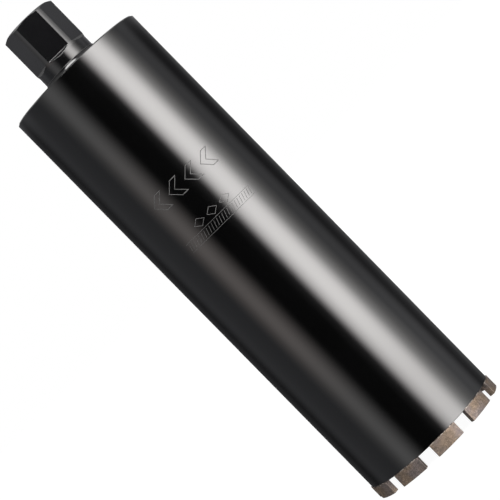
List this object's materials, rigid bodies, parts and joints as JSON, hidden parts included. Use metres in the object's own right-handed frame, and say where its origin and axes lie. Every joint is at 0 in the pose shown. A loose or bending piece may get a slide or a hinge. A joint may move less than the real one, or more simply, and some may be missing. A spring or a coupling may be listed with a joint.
{
  "type": "diamond core bit",
  "caption": "Thin-walled steel tube with sintered diamond segments round its open crown and a hexagonal threaded hub on a closed end plate, for wet coring of concrete and stone.",
  "frame": {"origin": "on the tube's axis, in the plane of the segments' cutting faces, which the bit stands on", "axes": "+Z along the tube's axis from the crown to the hub; -Y faces the front wrench flat within 2 degrees"},
  "size_m": [0.114, 0.114, 0.4164],
  "materials": {
    "tube_paint": "satin",
    "end_paint": "satin",
    "hub_paint": "satin",
    "sintered_segment": "matte",
    "machined_steel": "satin",
    "weld_metal": "satin",
    "etched_steel": "matte"
  },
  "bodies": {
    "root": {"tube": "tube_paint", "end_plate": "end_paint", "hub": "hub_paint", "segment_01": "sintered_segment", "segment_02": "sintered_segment", "segment_03": "sintered_segment", "segment_04": "sintered_segment", "segment_05": "sintered_segment", "segment_06": "sintered_segment", "segment_07": "sintered_segment", "segment_08": "sintered_segment", "segment_09": "sintered_segment", "segment_10": "sintered_segment"}
  },
  "joints": []
}
